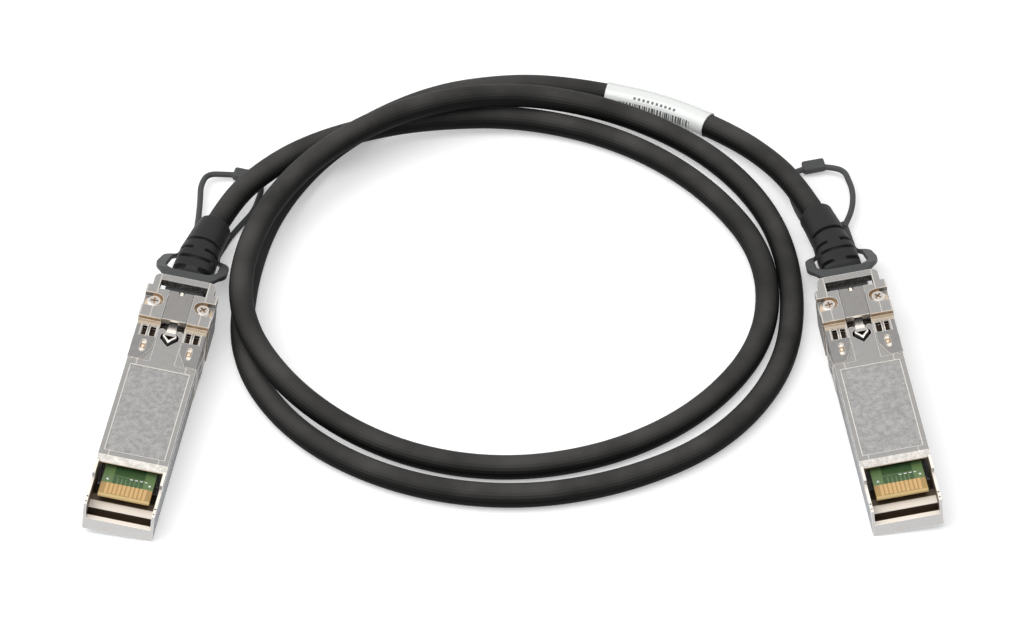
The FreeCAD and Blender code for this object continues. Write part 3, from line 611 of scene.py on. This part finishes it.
def plain_plastic(name, colour, rough):
    """Plain resin or ceramic, a little darker in clouds."""
    def paint(flow):
        cloud = noise(flow, 400, 2)
        darker = tuple(c * 0.85 for c in colour[:3]) + (1,)
        return {"Base Color": cloud.blend(darker, colour), "Roughness": rough + cloud * 0.08}
    return finish(name, paint)


# printed rows of the wrap, as parts of its length and of its turn
BARS_ALONG, BARS_AROUND = (0.14, 0.86), (0.302, 0.409)
DASHES_ALONG, DASHES_AROUND = (0.27, 0.71), (0.215, 0.25)
BAR_WAVES = 62.0
DASH_COUNT = 22.7


def printed_wrap():
    """White wrap with a row of plain bars and a row of dashes, laid out on the label's own map."""
    def paint(flow):
        uv = flow.node("ShaderNodeUVMap", {"uv_map": "wrap"})
        along, around = (flow.node("ShaderNodeSeparateXYZ", inputs={0: uv}, output=i) for i in range(2))
        inputs = {"W": along * BAR_WAVES, "Scale": 1.0, "Detail": 1.0}
        stripes = flow.node("ShaderNodeTexNoise", {"noise_dimensions": "1D"}, inputs)
        bars = stripes.over(0.5, 0.01) * along.within(*BARS_ALONG, 0.002) * around.within(*BARS_AROUND, 0.002)
        beat = (along * DASH_COUNT).fraction()
        row = along.within(*DASHES_ALONG, 0.002) * around.within(*DASHES_AROUND, 0.002)
        ink = bars + beat.within(0.15, 0.7, 0.03) * row
        return {"Base Color": ink.blend(WRAP_WHITE, grey(0.06)), "Roughness": 0.22 + ink * 0.2}
    return finish("printed_wrap", paint, Coat_Weight=0.3)


# ---- numpy surfaces ----

def mesh_from_grid(name, points, material, uv=None):
    """Closed mesh of a grid of points: rows run along the piece and columns once around it.

    Each square joins a point to the next one around and both to the next row; the ends are capped.
    """
    rows, columns = points.shape[:2]
    i, j = np.meshgrid(np.arange(rows - 1), np.arange(columns), indexing="ij")
    here, right = i * columns + j, i * columns + (j + 1) % columns
    faces = np.stack([here, right, right + columns, here + columns], -1).reshape(-1, 4).tolist()
    faces.append(list(range(columns))[::-1])
    faces.append(list(range((rows - 1) * columns, rows * columns)))
    mesh = bpy.data.meshes.new(name)
    mesh.from_pydata(points.reshape(-1, 3).tolist(), [], faces)
    mesh.materials.append(material)
    mesh.polygons.foreach_set("use_smooth", np.ones(len(mesh.polygons), dtype=bool))
    piece = bpy.data.objects.new(name, mesh)
    bpy.context.scene.collection.objects.link(piece)
    if uv is not None:
        loops = np.empty(len(mesh.loops), dtype=np.int32)
        mesh.loops.foreach_get("vertex_index", loops)
        layer = mesh.uv_layers.new(name="wrap")
        layer.data.foreach_set("uv", uv.reshape(-1, 2)[loops].ravel())
    return piece


def eased(stations, y):
    """Columns of a station table at y, eased by 3 p squared - 2 p cubed from each station to the next."""
    table = np.array(stations, dtype=float)
    index = np.clip(np.searchsorted(table[:, 0], y, side="right") - 1, 0, len(table) - 2)
    part = np.clip((y - table[index, 0]) / (table[index + 1, 0] - table[index, 0]), 0, 1)
    ease = (part * part * (3 - 2 * part))[:, None]
    return (table[index, 1:] * (1 - ease) + table[index + 1, 1:] * ease).T


def soft_step(value, edge, soft):
    """0 below an edge and 1 above it, by 3 p squared - 2 p cubed over the soft part p of the way."""
    part = np.clip((value - edge + soft) / (2 * soft), 0, 1)
    return part * part * (3 - 2 * part)


# boot of each plug: sideways bend of its end, where it ends, its grooves in the sides and over the top
BOOTS = {
    "left": (1.9, 79.3, (64.6, 69.8), (67.3, 72.4)),
    "right": (-2.5, 81.3, (65.5, 70.6), (68.4, 74.0)),
}
BOOT_START = 53.7
BOOT_COLLAR = (55.6, 56.1)    # where the boot widens behind the frame
GROOVED = (62.6, 75.2)        # the stretch that the grooves lie in
BEND_FROM = 60.0
EXIT_HEIGHT = 4.6
SLEEVE_RADIUS = 3.45
CORE_RADIUS = 2.65
CABLE_RADIUS = 2.35
GROOVE_HALF = 0.4             # half the width of a groove
SPINE_HALF = 1.4              # what the side grooves leave standing at the middle
SIDE_GROOVES_FROM = 2.6       # height where the side grooves begin
CROWN_HALF = 3.4              # how far the top grooves reach to each side
CROWN_FROM = 0.9              # and how far from the middle height they begin


def boot_stations(end):
    """Stations of the boot: y, half width, lowest and highest point, and power of the rounding."""
    low, high = EXIT_HEIGHT - SLEEVE_RADIUS, EXIT_HEIGHT + SLEEVE_RADIUS
    lip = 0.4                     # rounding of the sleeve's end
    return [(BOOT_START, 3.58, 1.62, 5.1, 6), (55.7, 3.58, 1.62, 5.1, 6), (55.86, 4.1, 1.25, 5.4, 6),
            (56.0, 4.2, 1.2, 5.5, 6), (62.3, 4.2, 1.2, 5.5, 5), (65.2, 4.0, 1.2, 7.45, 3.6),
            (67.6, 3.95, 1.18, 7.75, 3.2), (74.0, 3.6, low, high, 2.2),
            (end - 0.5, SLEEVE_RADIUS, low, high, 2), (end, SLEEVE_RADIUS - lip, low + lip, high - lip, 2)]


def groove_depth(y, u, w, side_grooves, top_grooves):
    """1 in the bottom of the boot's grooves and 0 outside them."""
    from_axis = np.abs(w - EXIT_HEIGHT)
    soft = 0.12
    flank = soft_step(np.abs(u), SPINE_HALF, soft) * soft_step(w, SIDE_GROOVES_FROM, soft)
    crown = (1 - soft_step(np.abs(u), CROWN_HALF, soft)) * soft_step(from_axis, CROWN_FROM, soft)
    depth = np.zeros_like(u)
    for grooves, reach in ((side_grooves, flank), (top_grooves, crown)):
        for groove in grooves:
            band = 1 - soft_step(np.abs(y - groove), GROOVE_HALF, 0.05)
            depth = np.maximum(depth, band[:, None] * reach)
    return depth


def add_boot(side, material):
    """Strain relief: superellipse sections carried along a line that bends like a parabola.

    Each point lies at centre + a*(cos t)^(2/n) across and b*(sin t)^(2/n) up, with a, b and n eased
    from station to station; the grooves pull the surface in to a round core.
    """
    bend, end, side_grooves, top_grooves = BOOTS[side]
    y = np.unique(np.concatenate([np.linspace(BOOT_START, end, 150), np.linspace(*GROOVED, 200),
                                  np.linspace(end - 0.6, end, 9), np.linspace(*BOOT_COLLAR, 9)]))
    half, bottom, top, power = eased(boot_stations(end), y)
    t = np.linspace(0, 2 * math.pi, 112, endpoint=False)[None, :]
    n = power[:, None]
    u = half[:, None] * np.sign(np.cos(t)) * np.abs(np.cos(t)) ** (2 / n)
    rise = (top - bottom)[:, None] / 2
    w = rise * np.sign(np.sin(t)) * np.abs(np.sin(t)) ** (2 / n) + (top + bottom)[:, None] / 2
    from_core = np.hypot(u, w - EXIT_HEIGHT)
    depth = groove_depth(y, u, w, side_grooves, top_grooves)
    shrink = 1 - depth * np.clip(1 - CORE_RADIUS / np.maximum(from_core, 0.1), 0, 1)
    u, w = u * shrink, EXIT_HEIGHT + (w - EXIT_HEIGHT) * shrink
    past = np.maximum(0, y - BEND_FROM) / (end - BEND_FROM)
    centre = (bend * past ** 2)[:, None]
    slope = (2 * bend * past / (end - BEND_FROM))[:, None]
    length = np.hypot(1, slope)
    points = PLUG[side].world(centre + u / length, y[:, None] - u * slope / length, w)
    boot = mesh_from_grid(side + "_boot_moulding", points[:, ::-1], material)
    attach(boot, "cable_assembly")
    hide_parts(side + "_cable_boot")


PULL_WELD = 0.000001
PULL_VOXEL = 0.00013          # sets how round the corners are
PULL_ROUNDS = 5               # of smoothing


def add_pull(side, material):
    """Flexible pull moulding: the solid's own form with every corner softened as a mould leaves it."""
    source = frame["nodes"][side + "_pull_loop"]
    mesh = source.data.copy()
    mesh.name = side + "_pull_moulding"
    mesh.materials.clear()
    mesh.materials.append(material)
    piece = bpy.data.objects.new(side + "_pull_moulding", mesh)
    bpy.context.scene.collection.objects.link(piece)
    weld = piece.modifiers.new("weld", "WELD")
    weld.merge_threshold = PULL_WELD
    remesh = piece.modifiers.new("remesh", "REMESH")
    remesh.mode = "VOXEL"
    remesh.voxel_size = PULL_VOXEL
    remesh.use_smooth_shade = True
    smooth = piece.modifiers.new("soften", "SMOOTH")
    smooth.factor = 0.5
    smooth.iterations = PULL_ROUNDS
    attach(piece, side + "_slide")
    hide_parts(side + "_pull_loop")


# ---- cable ----

FIRST_RUN = 8.0               # from a boot to the first point straight ahead of it, in millimetres

# route of the cable between the two boots, from the left plug to the right one, in millimetres
ROUTE = [
    (-51.2, 41.5, 5.6), (-43.3, 47.3, 7.2), (-32.5, 53.1, 7.1), (-18, 59.6, 4.9), (2.5, 62.6, 2.8),
    (23.5, 55.6, 2.4), (40, 41.1, 2.4), (50.5, 21.6, 2.4), (49.5, -0.9, 2.4), (37, -19.9, 2.4),
    (18.5, -31.9, 2.4), (-3.5, -35.9, 2.4), (-25, -30.4, 3), (-43, -18.7, 6.9), (-53.6, 1.1, 8),
    (-51.5, 23.6, 8.6), (-40.5, 42.1, 10.4), (-23, 56.1, 10.7), (-2.5, 64.1, 8.3), (19.5, 62.6, 5.4),
    (39.5, 52.1, 3.1), (52, 34.1, 2.4), (55.6, 12.1, 2.4), (52.5, -9.4, 2.4), (40, -27.9, 2.4),
    (20.5, -38.9, 2.4), (-1, -42.9, 2.4), (-23, -38.4, 2.4), (-41.5, -25.9, 2.4), (-52.5, -6.9, 2.4),
    (-52.5, 15.6, 2.4), (-47.5, 36.6, 2.4), (-36, 55.1, 2.4), (-18, 68.6, 2.4), (-1, 72.5, 2.4),
    (12.5, 71.1, 2.7), (30.5, 65.6, 2.95), (44.5, 56.1, 3.5), (52.5, 47.4, 4.1),
]


def boot_end(side):
    """Where the cable leaves a boot and the next point straight ahead, in millimetres."""
    bend, end = BOOTS[side][:2]
    slope = 2 * bend / (end - BEND_FROM)
    ahead = np.array([slope, 1.0]) / math.hypot(slope, 1) * FIRST_RUN
    return PLUG[side].world([bend, bend + ahead[0]], [end, end + ahead[1]], EXIT_HEIGHT) / MM


def add_cable(material):
    """Round jacket along one smooth spline from boot to boot; returns it and points along it."""
    left, right = boot_end("left"), boot_end("right")
    route = [left[0], left[1]] + [np.array(p) for p in ROUTE] + [right[1], right[0]]
    data = bpy.data.curves.new("cable_jacket", "CURVE")
    data.dimensions = "3D"
    spline = data.splines.new("NURBS")
    spline.points.add(len(route) - 1)
    for point, spot in zip(spline.points, route):
        point.co = (*(np.array(spot) * MM), 1)
    spline.order_u = 3
    spline.use_endpoint_u = True
    spline.resolution_u = 14
    cable = bpy.data.objects.new("cable_jacket", data)
    bpy.context.scene.collection.objects.link(cable)
    line = bpy.data.meshes.new_from_object(cable)
    path = np.array([v.co[:] for v in line.vertices])
    data.bevel_depth = CABLE_RADIUS * MM
    data.bevel_resolution = 10
    data.use_fill_caps = True
    data.materials.append(material)
    return cable, path


def path_frames(path):
    """Distances along a path and, at each point, an upright axis and a level axis square to it.

    The level axis is the path's direction crossed with up, and the upright one is level crossed with it.
    """
    steps = np.linalg.norm(np.diff(path, axis=0), axis=1)
    along = np.concatenate([[0], np.cumsum(steps)])
    forward = np.gradient(path, along, axis=0)
    forward /= np.linalg.norm(forward, axis=1)[:, None]
    level = np.cross(forward, (0, 0, 1.0))
    level /= np.linalg.norm(level, axis=1)[:, None]
    upright = np.cross(level, forward)
    return along, upright, level


WRAP_HALF_LENGTH = 11.4
WRAP_SHEET = 0.14             # thickness of the wrap, in millimetres
WRAP_GAP = 0.04               # between the wrap and the jacket
WRAP_TURNS = 1.06             # the sheet overlaps itself a little
WRAP_START = -0.26 * math.pi  # angle of its first edge from the top


def add_wrap(path, material):
    """Printed wrap: a sheet rolled once around the cable, its end lying over its start.

    Radius = cable radius + gap, plus one thickness on the outside; both faces rise by 1.2 thicknesses
    just before the turn passes one. Each point is the path + radius * (cos angle up + sin angle out).
    """
    along, upright, level = path_frames(path)
    box = [Vector(corner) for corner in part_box("wrap_label")]
    middle = np.array((box[0] + box[1]) / 2)
    centre = along[np.argmin(np.linalg.norm(path - middle, axis=1))]
    half = WRAP_HALF_LENGTH * MM
    s = np.linspace(centre - half, centre + half, 90)
    spots, up, out = (np.stack([np.interp(s, along, track[:, k]) for k in range(3)], -1)[:, None]
                      for track in (path, upright, level))
    turn = np.linspace(0, WRAP_TURNS, 121)
    rise = soft_step(turn, 0.98, 0.03) * 1.2 * WRAP_SHEET
    outer = (CABLE_RADIUS + WRAP_GAP + WRAP_SHEET + rise) * MM
    inner = outer - WRAP_SHEET * MM
    there_and_back = np.concatenate([turn, turn[::-1]])[None, :]
    angle = (2 * math.pi * there_and_back + WRAP_START)[..., None]
    radius = np.concatenate([outer, inner[::-1]])[None, :, None]
    points = spots + radius * (np.cos(angle) * up + np.sin(angle) * out)
    rows = (s - s[0]) / (s[-1] - s[0])
    uv = np.stack(np.broadcast_arrays(rows[:, None], there_and_back), -1)
    wrap = mesh_from_grid("wrap_sheet", points, material, uv=uv)
    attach(wrap, "cable_assembly")
    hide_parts("wrap_label")
    return wrap


# ---- the scene ----

def dress(node, material):
    """Give a CAD node its finish."""
    mesh = frame["nodes"][node].data
    mesh.materials.clear()
    mesh.materials.append(material)


def background_rays(flow):
    """1 for the rays that show the pale background: from the camera, off gloss and through glass."""
    kinds = ("Is Camera Ray", "Is Glossy Ray", "Is Transmission Ray")
    camera, glossy, through = [flow.node("ShaderNodeLightPath", output=kind) for kind in kinds]
    return camera.most(glossy).most(through)


def add_floor():
    """Pale floor that keeps shadows and shows white where the background does."""
    material = finish("pale_floor", Base_Color=grey(0.8), Roughness=0.9)
    tree = material.node_tree
    flow = Flow(tree)
    shader = Flow(tree, tree.nodes["Principled BSDF"].outputs[0])
    strength = background_rays(flow) * FLOOR_GLOW
    glow = flow.node("ShaderNodeEmission", inputs={"Color": grey(1.0), "Strength": strength})
    both = flow.node("ShaderNodeAddShader", inputs={0: shader, 1: glow})
    flow.feed(tree.nodes["Material Output"].inputs["Surface"], both)
    corners = [(x * FLOOR_HALF, y * FLOOR_HALF, 0) for x, y in ((-1, -1), (1, -1), (1, 1), (-1, 1))]
    mesh = bpy.data.meshes.new("floor")
    mesh.from_pydata(corners, [], [(0, 1, 2, 3)])
    mesh.materials.append(material)
    floor = bpy.data.objects.new("floor", mesh)
    floor.location = (0, 0, -FLOOR_DROP)
    bpy.context.scene.collection.objects.link(floor)


def light_world():
    """Even pale surroundings, white to the camera and to mirror-like surfaces."""
    world = bpy.data.worlds.new("pale_room")
    world.use_nodes = True
    tree = world.node_tree
    flow = Flow(tree)
    seen = background_rays(flow)
    lit = flow.node("ShaderNodeBackground", inputs={"Color": grey(1.0), "Strength": ROOM_LIGHT})
    white = flow.node("ShaderNodeBackground", inputs={"Color": grey(1.0), "Strength": 1.0})
    both = flow.node("ShaderNodeMixShader", inputs={0: seen, 1: lit, 2: white})
    flow.feed(tree.nodes["World Output"].inputs["Surface"], both)
    bpy.context.scene.world = world


add_camera()
bpy.context.scene.view_settings.view_transform = "Standard"
light_world()
add_floor()
for lamp, (place, size, power) in LAMPS.items():
    add_area(lamp, place, size, power)

cable, cable_path = add_cable(black_jacket())
boot_rubber = moulded_rubber("boot_rubber", 0.014, 0.5)
pull_rubber = moulded_rubber("pull_rubber", 0.068, 0.5)
wrap = add_wrap(cable_path, printed_wrap())
for side in SIDES:
    add_boot(side, boot_rubber)
    add_pull(side, pull_rubber)
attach(cable, "cable_assembly")
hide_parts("cable")
tuple(boot_end("left")[0] * MM)

# finishes made for each plug, whose patterns lie in its own frame
PLUG_FINISHES = {
    zinc_casting: ("base_shell", "cover_shell"),
    collar_steel: ("emi_collar",),
    lever_steel: ("latch_lever",),
    slider_steel: ("latch_slider",),
    nickel_screw: ("cover_screws",),
    solder_mask: ("paddle_card",),
}
# finishes that both plugs share
FINISHES = {
    "contact_pads": gold_contact(),
    "memory_chip": plain_plastic("chip_resin", grey(0.03), 0.5),
    "capacitors": plain_plastic("capacitor_ceramic", CERAMIC, 0.5),
    "inner_conductors": plain_plastic("conductor_insulation", grey(0.7), 0.35),
    "inner_mould": plain_plastic("potting_resin", grey(0.06), 0.5),
    "shield_ferrule": stamped_steel("ferrule_brass", 0.6, 0.15),
    "lever_pin": stamped_steel("pin_steel"),
    "lever_spring": stamped_steel("spring_wire"),
}
for side in SIDES:
    for make, parts in PLUG_FINISHES.items():
        plug_finish = make(PLUG[side])
        for part in parts:
            dress(side + "_" + part, plug_finish)
    for part, material in FINISHES.items():
        dress(side + "_" + part, material)
